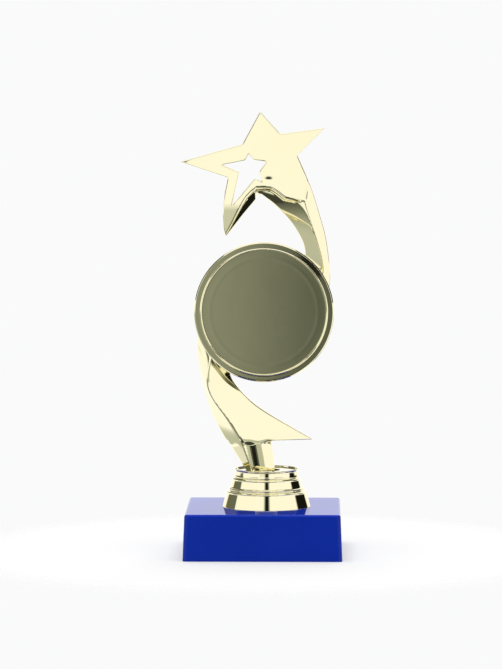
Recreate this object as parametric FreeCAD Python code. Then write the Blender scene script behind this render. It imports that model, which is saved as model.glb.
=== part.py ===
import FreeCAD, Part
import math
import os

# Star trophy: a gold metallised star and ribbon figure with a round emblem holder,
# standing on a stepped foot that is bolted to a hollow, weighted plastic base.
# Millimetres, +Z up, +Y to the back. The origin is the centre of the resting face.

Vec = FreeCAD.Vector
UP = Vec(0, 0, 1)
BACK = Vec(0, 1, 0)

# Base block
BASE_WIDTH = 65.0
BASE_DEPTH = 65.0
BASE_HEIGHT = 19.0
BASE_DRAFT = 0.75
BASE_WALL = 2.0
BASE_TOP_WALL = 2.5
BASE_CORNER = 1.6
BASE_TOP_EDGE = 1.1
TOUCH = 0.000001
PAD_THICKNESS = 1.0
COVER_THICKNESS = 1.5
WEIGHT_THICKNESS = 8.0
WEIGHT_HOLE = 9.0
RIB_THICKNESS = 1.6
BOSS_RADIUS = 6.0
FIT_GAP = 0.15

# Column position and its fastening
COLUMN_X = 1.2
BOLT_RADIUS = 1.95
BOLT_HOLE = 2.2
BOLT_DEPTH = 8.8
BOLT_TIP_ROOM = 0.5
THREAD_GAP = 0.05
HEAD_RADIUS = 3.8
HEAD_HEIGHT = 3.0
HEAD_ROOM = 1.4
HEX_SOCKET = 1.5
HEX_DEPTH = 1.8
WASHER_RADIUS = 5.0
WASHER_THICKNESS = 1.0
SPRING_WASHER_RADIUS = 3.6
SPRING_WASHER_THICKNESS = 1.1
SPRING_GAP = 0.8
INSERT_RADIUS = 2.9
INSERT_LENGTH = 8.0
SPIGOT_RADIUS = 5.5
SPIGOT_LENGTH = 11.0

# Stepped foot
FOOT_HEIGHT = 15.7
FOOT_RADIUS = 18.3
FOOT_WALL = 1.6
FOOT_DECK = 1.4
FOOT_RIM_DEPTH = 0.6
FOOT_RIM_WIDTH = 0.9
FOOT_TOP_RADIUS = 13.5
FOOT_DECK_ROOM = 1.0
FOOT_FLARE = 1.8
STEP_LEDGE = 1.4

# Figure shell
PARTING = 3.5
SKIN = 1.3
BACK_COVER = 1.2
STAR_THICKNESS = 5.0
STAR_FRONT = -7.0
STAR_FOOT_LEVEL = 97.9
STAR_BEND = 55.0
STAR_LEAN = 18.0
STAR_BULGE = 150.0
STAR_REACH = 60.0
STAR_TAIL = 10.0
STAR_MARGIN = 1.0
BLADE_FRONT = -1.0
POCKET_LEFT = -6.2
RIDGE_SHARE = 1.4

# Emblem holder, placed from the column's axis and the foot's deck
HOLDER_X = -0.9
HOLDER_Z = 66.0
EMBLEM_DIAMETER = 50.0
EMBLEM_GAP = 0.6
RIM_WIDTH = 3.1
HOLDER_DEPTH = 5.0
HOLDER_BACK = -7.0
RECESS_DEPTH = 1.8
RECESS_FLOOR = 1.8
HOLDER_SKIRT = 2.4
LIP_WIDTH = 0.7
LIP_DROP = 0.35
BEVEL = 0.7
HUB_RADIUS = 14.0
HUB_FLOOR = 2.0
SCREW_CIRCLE = 8.0
SCREW_COUNT = 3
SCREW_RADIUS = 1.1
SCREW_DEPTH = 2.2
SCREW_HEAD_RADIUS = 2.1
SCREW_HEAD_HEIGHT = 1.4

# Levels and places that follow from the sizes above
BASE_INSIDE = BASE_HEIGHT - BASE_TOP_WALL
COVER_TOP = PAD_THICKNESS + COVER_THICKNESS
WEIGHT_TOP = COVER_TOP + WEIGHT_THICKNESS
HEAD_BOTTOM = COVER_TOP + HEAD_ROOM
HEAD_TOP = HEAD_BOTTOM + HEAD_HEIGHT
WASHER_BOTTOM = HEAD_TOP + SPRING_WASHER_THICKNESS
BOSS_BOTTOM = WASHER_BOTTOM + WASHER_THICKNESS
FOOT_TOP = BASE_HEIGHT + FOOT_HEIGHT
DECK_TOP = FOOT_TOP - FOOT_RIM_DEPTH
SPIGOT_BOTTOM = DECK_TOP - SPIGOT_LENGTH
INSERT_TOP = SPIGOT_BOTTOM + INSERT_LENGTH
BOLT_TOP = SPIGOT_BOTTOM + BOLT_DEPTH
RECESS_RADIUS = EMBLEM_DIAMETER / 2 + EMBLEM_GAP
HOLDER_RADIUS = RECESS_RADIUS + RIM_WIDTH
HOLDER_FRONT = HOLDER_BACK - HOLDER_DEPTH
COLUMN = Vec(COLUMN_X, 0, 0)
FIGURE = Vec(COLUMN_X, 0, DECK_TOP)
HOLDER_CENTRE = FIGURE + Vec(HOLDER_X, 0, HOLDER_Z)


def column_point(radius, level):
    """A point of a profile that is turned about the column's axis."""
    return Vec(COLUMN_X + radius, 0, level)


def turned(points):
    """Turns a closed profile of (radius, level) corners about the column's axis."""
    corners = [column_point(radius, level) for radius, level in points]
    face = Part.Face(Part.makePolygon(corners + corners[:1]))
    return face.revolve(COLUMN, UP, 360)


def column_rod(radius, bottom, top):
    """A round rod on the column's axis."""
    return Part.makeCylinder(radius, top - bottom, column_point(0, bottom))


def face_rod(radius, front, back, centre):
    """A round rod that points to the back, for the emblem holder and its screws."""
    return Part.makeCylinder(radius, back - front, Vec(centre.x, front, centre.z), BACK)


def centred_box(width, depth, bottom, top):
    """An upright box centred on the base."""
    corner = Vec(-width / 2, -depth / 2, bottom)
    return Part.makeBox(width, depth, top - bottom, corner)


def rounded_square(width, depth, radius, level):
    """A rounded rectangle centred on the base, as a wire."""
    x = width / 2
    y = depth / 2
    c = radius * (1 - math.sqrt(0.5))
    edges = []
    for sx, sy, turn in ((1, -1, 1), (1, 1, -1), (-1, 1, 1), (-1, -1, -1)):
        near = Vec(sx * (x - radius), sy * y, level)
        middle = Vec(sx * (x - c), sy * (y - c), level)
        far = Vec(sx * x, sy * (y - radius), level)
        first, last = (near, far) if turn > 0 else (far, near)
        edges.append((first, middle, last))
    wire = []
    for number, (first, middle, last) in enumerate(edges):
        following = edges[(number + 1) % len(edges)][0]
        wire.append(Part.Arc(first, middle, last).toShape())
        wire.append(Part.makeLine(last, following))
    return Part.Wire(wire)


def make_base_shell():
    """The blue block: a drafted, hollow moulding with a boss and four ribs inside."""
    bottom = rounded_square(BASE_WIDTH, BASE_DEPTH, BASE_CORNER, 0)
    top_width = BASE_WIDTH - 2 * BASE_DRAFT
    top_depth = BASE_DEPTH - 2 * BASE_DRAFT
    top = rounded_square(top_width, top_depth, BASE_CORNER, BASE_HEIGHT)
    block = Part.makeLoft([bottom, top], True, True)
    rim = [edge for edge in block.Edges if edge.BoundBox.ZMin > BASE_HEIGHT - TOUCH]
    block = block.makeFillet(BASE_TOP_EDGE, rim)
    inner_top_width = top_width - 2 * BASE_WALL
    inner_top_depth = top_depth - 2 * BASE_WALL
    inner_width = BASE_WIDTH - 2 * BASE_WALL
    inner_depth = BASE_DEPTH - 2 * BASE_WALL
    cavity_bottom = rounded_square(inner_width, inner_depth, BASE_CORNER / 2, 0)
    cavity_top = rounded_square(inner_top_width, inner_top_depth, BASE_CORNER / 2, BASE_INSIDE)
    block = block.cut(Part.makeLoft([cavity_bottom, cavity_top], True, True))
    ribs = centred_box(inner_top_width, RIB_THICKNESS, WEIGHT_TOP, BASE_INSIDE)
    ribs = ribs.fuse(centred_box(RIB_THICKNESS, inner_top_depth, WEIGHT_TOP, BASE_INSIDE))
    boss = column_rod(BOSS_RADIUS, BOSS_BOTTOM, BASE_INSIDE)
    block = block.fuse([ribs, boss])
    return block.cut(column_rod(BOLT_HOLE, 0, BASE_HEIGHT)).removeSplitter()


def inside_width():
    """Clear width between the base's side walls where they are closest."""
    return BASE_WIDTH - 2 * BASE_DRAFT - 2 * BASE_WALL - 2 * FIT_GAP


def inside_depth():
    """Clear depth between the base's front and back walls where they are closest."""
    return BASE_DEPTH - 2 * BASE_DRAFT - 2 * BASE_WALL - 2 * FIT_GAP


def make_base_weight():
    """The steel plate that ballasts the base, with a hole round the boss."""
    plate = centred_box(inside_width(), inside_depth(), COVER_TOP, WEIGHT_TOP)
    return plate.cut(column_rod(WEIGHT_HOLE, COVER_TOP, WEIGHT_TOP))


def make_base_cover():
    """The fibreboard that closes the bottom under the weight."""
    return centred_box(inside_width(), inside_depth(), PAD_THICKNESS, COVER_TOP)


def make_felt_pad():
    """The felt sheet that the base rests on, flush with the rim of the block."""
    return centred_box(inside_width(), inside_depth(), 0, PAD_THICKNESS)


def make_tie_bolt():
    """The socket-head screw that draws the column down onto the base."""
    head = column_rod(HEAD_RADIUS, HEAD_BOTTOM, HEAD_TOP)
    shank = column_rod(BOLT_RADIUS, HEAD_TOP, BOLT_TOP)
    reach = HEX_SOCKET / math.cos(math.radians(30))
    corners = []
    for number in range(6):
        angle = math.radians(60 * number)
        outward = Vec(math.cos(angle), math.sin(angle), 0)
        corners.append(column_point(0, HEAD_BOTTOM) + outward * reach)
    socket = Part.Face(Part.makePolygon(corners + corners[:1])).extrude(Vec(0, 0, HEX_DEPTH))
    return head.fuse(shank).cut(socket).removeSplitter()


def make_plain_washer():
    """The flat washer under the boss."""
    ring = column_rod(WASHER_RADIUS, WASHER_BOTTOM, BOSS_BOTTOM)
    return ring.cut(column_rod(BOLT_HOLE, WASHER_BOTTOM, BOSS_BOTTOM))


def make_spring_washer():
    """The split washer between the flat washer and the bolt's head."""
    ring = column_rod(SPRING_WASHER_RADIUS, HEAD_TOP, WASHER_BOTTOM)
    ring = ring.cut(column_rod(BOLT_HOLE, HEAD_TOP, WASHER_BOTTOM))
    corner = column_point(0, HEAD_TOP) - Vec(0, SPRING_GAP / 2, 0)
    split = Part.makeBox(SPRING_WASHER_RADIUS, SPRING_GAP, SPRING_WASHER_THICKNESS, corner)
    return ring.cut(split)


def foot_profile():
    """Outside of the foot from its flared bottom up: three tiers with beaded steps."""
    lower = FOOT_RADIUS - FOOT_FLARE
    middle = lower - STEP_LEDGE
    upper = FOOT_TOP_RADIUS
    shape = [
        (FOOT_RADIUS, 0.0), (FOOT_RADIUS, 0.04),
        (lower + 0.1, 0.365), (lower - 0.2, 0.42), (lower - 0.8, 0.455),
        (middle - 0.1, 0.475), (middle + 0.1, 0.505), (middle - 0.2, 0.535),
        (upper + 0.6, 0.7), (upper + 0.4, 0.75), (upper - 0.2, 0.775),
        (upper - 0.05, 0.825), (upper - 0.35, 0.86), (upper - 0.2, 0.95),
        (upper, 0.98), (upper - 0.15, 1.0),
    ]
    return [(radius, BASE_HEIGHT + share * FOOT_HEIGHT) for radius, share in shape]


def make_foot():
    """The gold stepped foot: a thin bell whose deck carries the figure's stem."""
    outside = foot_profile()
    rim_inside = FOOT_TOP_RADIUS - FOOT_RIM_WIDTH
    deck_bottom = DECK_TOP - FOOT_DECK
    opening = SPIGOT_RADIUS + FIT_GAP
    wall_top = deck_bottom - FOOT_DECK_ROOM
    under = [(radius - FOOT_WALL, level) for radius, level in outside if level < wall_top]
    inside = [
        (rim_inside, FOOT_TOP),
        (rim_inside, DECK_TOP),
        (opening, DECK_TOP),
        (opening, deck_bottom),
        (FOOT_TOP_RADIUS - 2 * FOOT_WALL, deck_bottom),
    ]
    return turned(outside + inside + under[::-1])


def make_threaded_insert():
    """The brass insert moulded into the stem, which the tie bolt screws into."""
    body = column_rod(INSERT_RADIUS, SPIGOT_BOTTOM, INSERT_TOP)
    return body.cut(column_rod(BOLT_RADIUS + THREAD_GAP, SPIGOT_BOTTOM, INSERT_TOP))


# Figure coordinates start on the column's axis at the foot's deck.
# The ribbon's long edges run from the star down behind the holder to the fishtail.
# Each row holds points (x, y, z) of the left edge, the ridge and the right edge.
RIBBON_STATIONS = [
    ((-5.2, 2.0, 117.9), (2.8, -2.3, 120.9), (13.4, 0.5, 127.3)),
    ((-2.4, 0.8, 114.2), (6.4, -4.0, 115.3), (15.8, -0.8, 122.5)),
    ((2.8, 1.0, 110.1), (11.8, -5.0, 111.9), (19.0, -1.8, 114.9)),
    ((9.0, 1.0, 103.9), (16.4, -6.1, 106.1), (22.1, -1.0, 104.9)),
    ((13.2, 1.0, 97.7), (19.8, -6.7, 97.9), (24.2, 0.0, 97.3)),
    ((15.8, 1.0, 90.9), (22.2, -6.7, 90.3), (25.6, 0.6, 88.5)),
    ((14.8, 1.0, 83.9), (23.2, -6.6, 81.5), (26.2, 1.0, 78.5)),
    ((8.8, 1.0, 78.5), (18.2, -6.6, 72.9), (23.2, 1.0, 69.1)),
    ((-1.2, 1.0, 74.9), (7.2, -6.6, 67.5), (13.8, 1.0, 61.5)),
    ((-12.0, 1.0, 72.1), (-5.0, -6.6, 63.7), (1.4, 1.0, 56.3)),
    ((-21.6, 1.0, 67.1), (-15.4, -6.6, 58.5), (-8.8, 1.0, 51.5)),
    ((-27.4, 1.0, 59.3), (-21.2, -6.6, 50.9), (-14.2, 1.0, 45.5)),
    ((-28.5, 1.0, 49.9), (-23.6, -6.7, 42.9), (-14.8, 1.0, 39.3)),
    ((-27.3, 1.0, 40.3), (-24.2, -6.7, 34.9), (-10.6, 1.0, 32.9)),
    ((-24.8, 1.0, 29.7), (-20.6, -6.7, 27.5), (-3.6, 0.6, 26.5)),
    ((-20.8, 1.0, 19.5), (-15.0, -6.6, 20.1), (7.2, 0.4, 19.7)),
    ((-16.0, 1.0, 10.9), (-10.4, -6.2, 12.5), (19.2, 0.4, 12.7)),
]

# The stem from under the fishtail to the foot: centre (x, z) and radius of its sections.
STEM_SECTIONS = [((-1.4, 0.0), 4.9), ((-2.7, 6.5), 5.0), ((-4.6, 13.5), 5.4)]


def smooth_edge(points):
    """A smooth curve through points, with the same parameters on every long edge."""
    steps = [number / (len(points) - 1) for number in range(len(points))]
    curve = Part.BSplineCurve()
    curve.interpolate(Points=points, Parameters=steps)
    return curve.toShape()


def body_between(edges):
    """A solid whose sides are ruled between neighbouring long edges, with closed ends."""
    faces = []
    for number, edge in enumerate(edges):
        faces.append(Part.makeRuledSurface(edge, edges[(number + 1) % len(edges)]))
    for end in (0, 1):
        faces += end_faces([edge.Vertexes[end].Point for edge in edges])
    shell = Part.makeShell(faces)
    shell.sewShape()
    solid = Part.makeSolid(shell)
    if solid.Volume < 0:
        solid.reverse()
    return solid


def end_faces(corners):
    """Triangles that close one end of a ribbon body."""
    faces = []
    for number in range(1, len(corners) - 1):
        triangle = [corners[0], corners[number], corners[number + 1], corners[0]]
        faces.append(Part.Face(Part.makePolygon(triangle)))
    return faces


def ribbon_edges(inset):
    """Points of the ribbon's left edge, ridge and right edge, moved in by inset."""
    left = []
    ridge = []
    right = []
    for left_point, ridge_point, right_point in RIBBON_STATIONS:
        across = Vec(*right_point) - Vec(*left_point)
        across = Vec(across.x, 0, across.z).normalize() * inset
        left.append(FIGURE + Vec(*left_point) + across)
        ridge.append(FIGURE + Vec(*ridge_point) + BACK * (RIDGE_SHARE * inset))
        right.append(FIGURE + Vec(*right_point) - across)
    return left, ridge, right


def at_depth(points, depth):
    """The same points in the plane Y = depth."""
    return [Vec(point.x, depth, point.z) for point in points]


def ribbon_body(inset):
    """The ribbon with its edges moved in by inset, from its front to the parting plane."""
    left, ridge, right = ribbon_edges(inset)
    rows = (left, ridge, right, at_depth(right, PARTING), at_depth(left, PARTING))
    return body_between([smooth_edge(points) for points in rows])


def ribbon_plate(inset, front, back):
    """A flat plate of the ribbon's outline, moved in by inset."""
    left, ridge, right = ribbon_edges(inset)
    rows = (at_depth(left, front), at_depth(right, front), at_depth(right, back), at_depth(left, back))
    return body_between([smooth_edge(points) for points in rows])


def flat_outline(points):
    """A closed outline of the figure's (x, z) corners as a face in the plane Y = 0."""
    corners = [FIGURE + Vec(x, 0, z) for x, z in points]
    return Part.Face(Part.makePolygon(corners + corners[:1]))


def slab(face, front, back):
    """A face of the plane Y = 0, made a solid from front to back."""
    moved = face.copy()
    moved.translate(Vec(0, front, 0))
    return moved.extrude(Vec(0, back - front, 0))


STAR_OUTLINE = [
    (-35.7, 127.2), (-9.9, 134.5), (-2.7, 147.9), (5.6, 138.7), (24.0, 141.1),
    (12.6, 129.9), (16.2, 121.9), (19.4, 113.5), (10.8, 112.1), (1.8, 114.7), (-2.4, 114.2),
    (-9.3, 106.0), (-16.6, 96.7), (-17.5, 99.9), (-17.9, 105.9), (-17.2, 113.9), (-15.8, 120.8),
]

CUTOUT_OUTLINE = [
    (-7.2, 130.7), (-5.4, 128.1), (0.0, 127.4), (-2.9, 123.3), (-1.8, 119.0),
    (-4.6, 120.7), (-14.2, 109.2), (-11.2, 123.1), (-18.5, 126.0), (-8.7, 127.9),
]


def inset_outline(points, distance):
    """Moves every side of a clockwise outline inwards and joins the sides again."""
    moved = []
    count = len(points)
    for number in range(count):
        before = Vec(points[number - 1][0], points[number - 1][1], 0)
        here = Vec(points[number][0], points[number][1], 0)
        after = Vec(points[(number + 1) % count][0], points[(number + 1) % count][1], 0)
        first = (here - before).normalize()
        second = (after - here).normalize()
        first_inward = Vec(first.y, -first.x, 0)
        second_inward = Vec(second.y, -second.x, 0)
        bisector = (first_inward + second_inward).normalize()
        corner = here + bisector * (distance / bisector.dot(first_inward))
        moved.append((corner.x, corner.y))
    return moved


def star_surface(offset):
    """The body whose front the star follows, moved back by offset.

    Its upright section bends back from vertical to the star's lean, and it is turned
    about a distant upright axis, so the star bulges forward a little.
    """
    lean = math.radians(STAR_LEAN)
    bend = STAR_BEND - offset
    middle = FIGURE + Vec(0, STAR_FRONT + STAR_BEND, STAR_FOOT_LEVEL)
    axis = FIGURE + Vec(0, STAR_FRONT + STAR_BULGE, 0)
    low = middle - Vec(0, bend, STAR_TAIL)
    start = middle - Vec(0, bend, 0)
    half = middle - Vec(0, bend * math.cos(lean / 2), -bend * math.sin(lean / 2))
    end = middle - Vec(0, bend * math.cos(lean), -bend * math.sin(lean))
    high = end + Vec(0, math.sin(lean), math.cos(lean)) * STAR_REACH
    axis_high = Vec(axis.x, axis.y, high.z)
    axis_low = Vec(axis.x, axis.y, low.z)
    edges = [
        Part.makeLine(low, start),
        Part.Arc(start, half, end).toShape(),
        Part.makeLine(end, high),
        Part.makeLine(high, axis_high),
        Part.makeLine(axis_high, axis_low),
        Part.makeLine(axis_low, low),
    ]
    return Part.Face(Part.Wire(edges)).revolve(axis, UP, 360)


def star_block(outline):
    """An outline of the star's region as a prism, deep enough to hold the whole star."""
    return slab(flat_outline(outline), STAR_FRONT - STAR_MARGIN, STAR_FRONT + STAR_BULGE / 2)


def curved_plate(block, front_offset, back_offset):
    """The layer of a prism between two depths behind the star's leaning front."""
    return block.common(star_surface(front_offset)).cut(star_surface(back_offset))


def hub_body(radius, front, back):
    """The round hub behind the emblem holder, which the holder is screwed to."""
    return face_rod(radius, front, back, HOLDER_CENTRE)


def stem_body():
    """The rounded stem that leans from the foot's deck up into the ribbon."""
    wires = []
    for (x, rise), radius in STEM_SECTIONS:
        circle = Part.makeCircle(radius, FIGURE + Vec(x, 0, rise))
        wires.append(Part.Wire(circle))
    return Part.makeLoft(wires, True, False)


def blade_body():
    """The thin left edge of the ribbon that runs down beside the stem to the deck."""
    points = [(-16.8, 12.9), (-13.1, 7.1), (-8.1, 0.0), (-4.2, 0.0), (-9.2, 12.9)]
    return slab(flat_outline(points), BLADE_FRONT, PARTING)


def screw_centres():
    """Centres of the screws that hold the emblem holder."""
    centres = []
    for number in range(SCREW_COUNT):
        angle = math.radians(90 + 360 / SCREW_COUNT * number)
        x = HOLDER_CENTRE.x + SCREW_CIRCLE * math.cos(angle)
        z = HOLDER_CENTRE.z + SCREW_CIRCLE * math.sin(angle)
        centres.append(Vec(x, 0, z))
    return centres


def pocket_block(wall):
    """The hollow behind the star: its upper body and arms, clear of ribbon and cut-out."""
    left_end = RIBBON_STATIONS[0][0]
    right_end = RIBBON_STATIONS[0][2]
    along = Vec(right_end[0] - left_end[0], 0, right_end[2] - left_end[2]).normalize()
    lift = Vec(-along.z, 0, along.x) * (SKIN + wall)
    low_left = Vec(left_end[0], 0, left_end[2]) + lift
    low_right = Vec(right_end[0], 0, right_end[2]) + lift
    high = STAR_FOOT_LEVEL + 2 * STAR_REACH
    area = [
        (POCKET_LEFT + wall, low_left.z), (low_left.x, low_left.z), (low_right.x, low_right.z),
        (STAR_REACH, low_right.z), (STAR_REACH, high), (POCKET_LEFT + wall, high),
    ]
    whole = star_block(inset_outline(STAR_OUTLINE, wall))
    around_cutout = star_block(inset_outline(CUTOUT_OUTLINE, -wall))
    return whole.common(star_block(area)).cut(around_cutout)


def make_figure_front():
    """Star, ribbon, hub and stem: one gold moulding, hollow behind, with a spigot."""
    star = curved_plate(star_block(STAR_OUTLINE), 0, STAR_THICKNESS)
    hub = hub_body(HUB_RADIUS, HOLDER_BACK, PARTING)
    spigot = column_rod(SPIGOT_RADIUS, SPIGOT_BOTTOM, DECK_TOP)
    star = star.cut(curved_plate(pocket_block(SKIN), SKIN, STAR_THICKNESS))
    solid = star.fuse([ribbon_body(0), hub, stem_body(), blade_body(), spigot])
    solid = solid.cut(star_block(CUTOUT_OUTLINE))
    solid = solid.cut(hub_body(HUB_RADIUS - SKIN, HOLDER_BACK + HUB_FLOOR, PARTING))
    solid = solid.cut(ribbon_body(SKIN))
    for centre in screw_centres():
        solid = solid.cut(face_rod(SCREW_RADIUS + FIT_GAP, HOLDER_BACK, PARTING, centre))
    solid = solid.cut(column_rod(INSERT_RADIUS, SPIGOT_BOTTOM, INSERT_TOP))
    return solid.cut(column_rod(BOLT_HOLE, INSERT_TOP, BOLT_TOP + BOLT_TIP_ROOM))


def make_star_back_cover():
    """The curved cover that closes the star from behind."""
    return curved_plate(pocket_block(SKIN + FIT_GAP), STAR_THICKNESS - BACK_COVER, STAR_THICKNESS)


def make_ribbon_back_cover():
    """The flat cover that closes the ribbon and the hub from behind."""
    front = PARTING - BACK_COVER
    inset = SKIN + FIT_GAP
    cover = ribbon_plate(inset, front, PARTING)
    return cover.fuse(hub_body(HUB_RADIUS - inset, front, PARTING)).removeSplitter()


def holder_profile():
    """Half section of the holder as (radius, depth): rim, lip, recess and skirt."""
    floor = HOLDER_FRONT + RECESS_DEPTH
    floor_back = floor + RECESS_FLOOR
    skirt = HOLDER_RADIUS - HOLDER_SKIRT
    return [
        (0, floor), (RECESS_RADIUS, floor), (RECESS_RADIUS, HOLDER_FRONT + LIP_DROP),
        (RECESS_RADIUS + LIP_WIDTH / 2, HOLDER_FRONT),
        (RECESS_RADIUS + LIP_WIDTH, HOLDER_FRONT + LIP_DROP),
        (HOLDER_RADIUS - BEVEL, HOLDER_FRONT + LIP_DROP), (HOLDER_RADIUS, HOLDER_FRONT + LIP_DROP + BEVEL),
        (HOLDER_RADIUS, HOLDER_BACK), (skirt, HOLDER_BACK), (skirt, floor_back),
        (HUB_RADIUS, floor_back), (HUB_RADIUS, HOLDER_BACK), (0, HOLDER_BACK),
    ]


def make_medallion_holder():
    """The round dish for an emblem, with a raised lip and a skirt behind."""
    centre = HOLDER_CENTRE
    corners = [Vec(centre.x + radius, depth, centre.z) for radius, depth in holder_profile()]
    face = Part.Face(Part.makePolygon(corners + corners[:1]))
    dish = face.revolve(Vec(centre.x, 0, centre.z), BACK, 360)
    for screw in screw_centres():
        dish = dish.cut(face_rod(SCREW_RADIUS, HOLDER_BACK - SCREW_DEPTH, HOLDER_BACK, screw))
    return dish


def make_holder_screws():
    """The self-tapping screws that hold the dish to the hub from behind."""
    seat = HOLDER_BACK + HUB_FLOOR
    screws = []
    for centre in screw_centres():
        shank = face_rod(SCREW_RADIUS, HOLDER_BACK - SCREW_DEPTH, seat, centre)
        head = face_rod(SCREW_HEAD_RADIUS, seat, seat + SCREW_HEAD_HEIGHT, centre)
        screws.append(shank.fuse(head).removeSplitter())
    return Part.makeCompound(screws)


if __name__ == "__main__":
    os.makedirs("parts", exist_ok=True)
    nodes = {
        "base_shell": make_base_shell(),
        "base_weight": make_base_weight(),
        "base_cover": make_base_cover(),
        "felt_pad": make_felt_pad(),
        "tie_bolt": make_tie_bolt(),
        "plain_washer": make_plain_washer(),
        "spring_washer": make_spring_washer(),
        "foot": make_foot(),
        "threaded_insert": make_threaded_insert(),
        "figure_front": make_figure_front(),
        "star_back_cover": make_star_back_cover(),
        "ribbon_back_cover": make_ribbon_back_cover(),
        "medallion_holder": make_medallion_holder(),
        "holder_screws": make_holder_screws(),
    }
    for name, shape in nodes.items():
        shape.exportStep(f"parts/{name}.step")
        print(name, shape.isValid(), len(shape.Solids), round(shape.Volume, 1))
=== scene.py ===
import math

import bmesh
import bpy
import numpy as np
from mathutils import Matrix, Vector
from mathutils.bvhtree import BVHTree
from mathutils.geometry import delaunay_2d_cdt
from mathutils.kdtree import KDTree


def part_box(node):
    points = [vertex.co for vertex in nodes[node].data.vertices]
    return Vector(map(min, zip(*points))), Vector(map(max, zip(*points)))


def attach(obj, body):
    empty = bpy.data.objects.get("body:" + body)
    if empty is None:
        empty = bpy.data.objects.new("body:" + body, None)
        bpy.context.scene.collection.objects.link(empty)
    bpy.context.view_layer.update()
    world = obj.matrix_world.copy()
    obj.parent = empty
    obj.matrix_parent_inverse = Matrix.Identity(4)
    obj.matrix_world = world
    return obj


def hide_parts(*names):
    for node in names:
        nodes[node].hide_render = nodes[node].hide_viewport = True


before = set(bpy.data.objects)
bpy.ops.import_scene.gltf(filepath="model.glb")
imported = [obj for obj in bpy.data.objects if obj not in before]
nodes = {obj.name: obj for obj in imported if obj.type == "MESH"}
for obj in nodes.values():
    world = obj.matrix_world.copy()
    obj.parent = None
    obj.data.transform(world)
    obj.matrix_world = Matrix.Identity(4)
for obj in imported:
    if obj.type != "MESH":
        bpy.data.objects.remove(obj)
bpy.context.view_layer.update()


# ---------------------------------------------------------------------------------------
# Base block
# A square, drafted block of glossy blue plastic, injection moulded with its bottom open.
# Its face is polished like the mould, with only faint flow ripples and handling marks.

MM = 0.001  # in metres


class Wire:
    """A value in a node tree that can be used in sums."""

    def __init__(self, maker, socket):
        self.maker = maker
        self.socket = socket

    def maths(self, operation, *values):
        numbered = dict(enumerate(values))
        return self.maker.node("ShaderNodeMath", {"operation": operation}, numbered)

    def __add__(self, other):
        return self.maths("ADD", self, other)

    def __sub__(self, other):
        return self.maths("SUBTRACT", self, other)

    def __mul__(self, other):
        return self.maths("MULTIPLY", self, other)

    def __rsub__(self, other):
        return self.maths("SUBTRACT", other, self)

    __radd__ = __add__
    __rmul__ = __mul__


class NodeMaker:
    """Fills a node tree, one node at a time."""

    def __init__(self, tree):
        self.tree = tree
        tree.nodes.clear()

    def node(self, kind, settings=None, values=None, output=0):
        """Adds a node, gives it its settings and then its values, and returns one output."""
        made = self.tree.nodes.new(kind)
        for name, setting in (settings or {}).items():
            setattr(made, name, setting)
        for key, value in (values or {}).items():
            if isinstance(value, Wire):
                self.tree.links.new(value.socket, made.inputs[key])
            else:
                made.inputs[key].default_value = value
        return Wire(self, made.outputs[output]) if made.outputs else None

    def parts(self, vector):
        """The x, y and z of a vector."""
        split = self.node("ShaderNodeSeparateXYZ", None, {0: vector})
        return [Wire(self, part) for part in split.socket.node.outputs]


class Finish(NodeMaker):
    """Makes the shading tree of a material, or of the light round the trophy."""

    def __init__(self, owner):
        owner.use_nodes = True
        super().__init__(owner.node_tree)

    def noise(self, place, scale, detail=2.0, roughness=0.5, warp=0.0):
        """Cloudy variation from 0 to 1, with its scale in waves per metre."""
        values = {
            "Vector": place,
            "Scale": scale,
            "Detail": detail,
            "Roughness": roughness,
            "Distortion": warp,
        }
        return self.node("ShaderNodeTexNoise", None, values)

    def ramp(self, value, low, high):
        """Rises softly from 0 at low to 1 at high."""
        settings = {"interpolation_type": "SMOOTHSTEP"}
        values = {"Value": value, "From Min": low, "From Max": high}
        return self.node("ShaderNodeMapRange", settings, values)

    def blend(self, share, first, second):
        """Mixes two colours."""
        values = {0: share, 6: first, 7: second}
        return self.node("ShaderNodeMix", {"data_type": "RGBA"}, values, output=2)

    def relief(self, height, depth, under=None):
        """Normals of a surface that rises by depth metres where height is 1."""
        values = {"Height": height, "Distance": depth, "Strength": 1.0}
        if under is not None:
            values["Normal"] = under
        return self.node("ShaderNodeBump", None, values)

    def surface(self, **values):
        """The finished surface: a shader with these sockets, joined to the output."""
        named = {name.replace("_", " "): value for name, value in values.items()}
        shader = self.node("ShaderNodeBsdfPrincipled", None, named)
        self.node("ShaderNodeOutputMaterial", None, {"Surface": shader})


def place_on_piece(finish):
    """The place on the piece itself, in metres."""
    return finish.node("ShaderNodeTexCoord", output="Object")


def blue_plastic():
    """Opaque royal blue moulding material with a polished skin."""
    material = bpy.data.materials.new("polished_blue_plastic")
    finish = Finish(material)
    place = place_on_piece(finish)
    cloud = finish.noise(place, 45, 3)
    grain = finish.noise(place, 2600, 2)
    ripple = finish.noise(place, 130, 2, warp=0.6)
    marks = finish.ramp(finish.noise(place, 420, 5, 0.62, 1.5), 0.60, 0.78)
    deep = (0.0035, 0.0215, 0.300, 1)
    bright = (0.0055, 0.0275, 0.360, 1)
    colour = finish.blend(cloud, deep, bright)
    roughness = 0.05 + cloud * 0.03 + marks * 0.05
    waves = finish.relief(ripple, 0.012 * MM)
    skin = finish.relief(grain, 0.0006 * MM, waves)
    finish.surface(Base_Color=colour, Roughness=roughness, Normal=skin, IOR=1.22)
    return material


def put_finish(node_name, material):
    """Gives a CAD piece its material."""
    slots = nodes[node_name].data.materials
    slots.clear()
    slots.append(material)


put_finish("base_shell", blue_plastic())


# ---------------------------------------------------------------------------------------
# Weight, board and felt
# A sawn steel plate lies in the block as ballast, a pressed fibreboard sheet closes it
# and a dark felt sheet is glued under the board for the trophy to stand on.


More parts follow.
